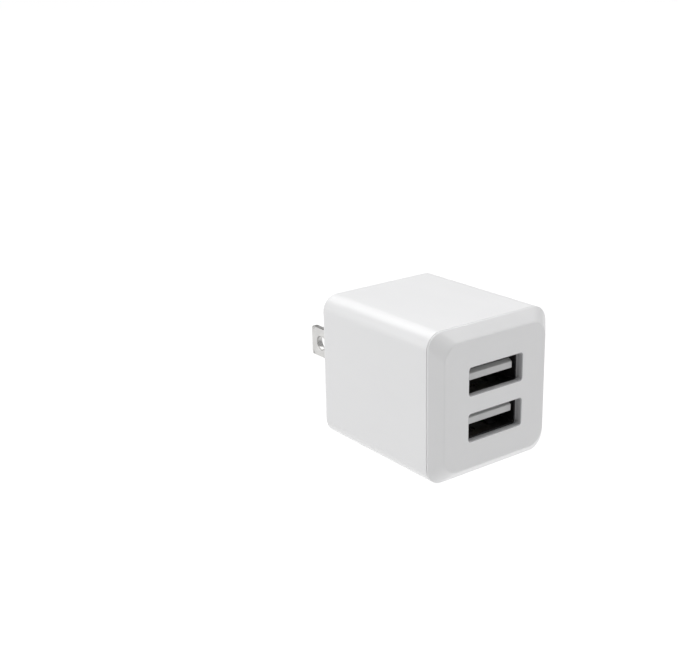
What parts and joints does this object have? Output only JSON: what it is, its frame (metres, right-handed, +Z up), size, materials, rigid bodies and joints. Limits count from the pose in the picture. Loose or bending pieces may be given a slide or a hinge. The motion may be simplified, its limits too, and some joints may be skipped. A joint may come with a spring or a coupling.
{
  "type": "usb wall charger",
  "caption": "Cube-shaped white wall charger with flat blades for a wall outlet on one end and stacked rectangular charging ports in a bevelled face on the other.",
  "frame": {"origin": "centre of the wall face, in the plane of its rim", "axes": "+Y into the wall along the blades, -Y the way the ports face, +Z up, +X to the right when the ports face the viewer"},
  "size_m": [0.03, 0.0509, 0.03],
  "materials": {
    "white_shell": "glossy moulded plastic",
    "white_cap": "glossy moulded plastic",
    "blade_metal": "nickel plated, satin",
    "carrier_plastic": "moulded",
    "spring_brass": "bare spring strip",
    "board_green": "solder-masked board",
    "port_steel": "dark plated sheet",
    "tongue_plastic": "moulded, light grey",
    "contact_gold": "gold plated",
    "ferrite": "ground ferrite",
    "bobbin_plastic": "moulded",
    "winding_tape": "taped copper winding",
    "clear_tape": "film tape",
    "tinned_wire": "tinned",
    "dark_sleeve": "printed sleeve without print",
    "green_sleeve": "sleeve",
    "blue_epoxy": "dipped coating",
    "resistor_green": "coated body",
    "copper_wire": "enamelled copper wire",
    "chip_black": "moulded",
    "chip_ceramic": "fired, dark top",
    "tan_ceramic": "fired",
    "wire_sleeve": "soft tube",
    "solder": "bright solder",
    "card_paper": "fish paper"
  },
  "bodies": {
    "charger_body": {"outer_shell": "white_shell", "front_cap": "white_cap", "left_blade": "blade_metal", "right_blade": "blade_metal", "blade_carrier": "carrier_plastic", "left_contact_strip": "spring_brass", "right_contact_strip": "spring_brass", "main_board": "board_green", "usb_board": "board_green", "board_pins": "contact_gold", "upper_usb_shell": "port_steel", "lower_usb_shell": "port_steel", "upper_usb_tongue": "tongue_plastic", "lower_usb_tongue": "tongue_plastic", "upper_contact_tails": "contact_gold", "lower_contact_tails": "contact_gold", "transformer_core": "ferrite", "transformer_bobbin": "bobbin_plastic", "transformer_winding": "winding_tape", "core_tape": "clear_tape", "transformer_pins": "tinned_wire", "input_capacitor": "dark_sleeve", "filter_capacitor": "dark_sleeve", "left_output_capacitor": "green_sleeve", "right_output_capacitor": "green_sleeve", "safety_capacitor": "blue_epoxy", "fuse_resistor": "resistor_green", "choke_core": "ferrite", "choke_winding": "copper_wire", "bridge_rectifier": "chip_black", "control_chip": "chip_black", "output_diode": "chip_black", "port_chip": "chip_black", "bridge_legs": "tinned_wire", "control_chip_legs": "tinned_wire", "diode_legs": "tinned_wire", "port_chip_legs": "tinned_wire", "board_resistors": "chip_ceramic", "board_capacitors": "tan_ceramic", "capacitor_leads": "tinned_wire", "filter_capacitor_leads": "tinned_wire", "safety_capacitor_leads": "tinned_wire", "fuse_leads": "tinned_wire", "choke_leads": "tinned_wire", "lead_sleeves": "wire_sleeve", "solder_joints": "solder", "insulating_card": "card_paper"},
    "upper_contacts": {"upper_contact_springs": "contact_gold"},
    "lower_contacts": {"lower_contact_springs": "contact_gold"}
  },
  "joints": [
    {"name": "upper_contact_press", "type": "hinge", "parent": "charger_body", "child": "upper_contacts", "pos_m": [0, -0.02563, 0.00468], "axis": [-1, 0, 0], "range_deg": [0, 4.5], "stiffness_Nm_per_rad": 0.15},
    {"name": "lower_contact_press", "type": "hinge", "parent": "charger_body", "child": "lower_contacts", "pos_m": [0, -0.02563, -0.00412], "axis": [-1, 0, 0], "range_deg": [0, 4.5], "stiffness_Nm_per_rad": 0.15}
  ]
}
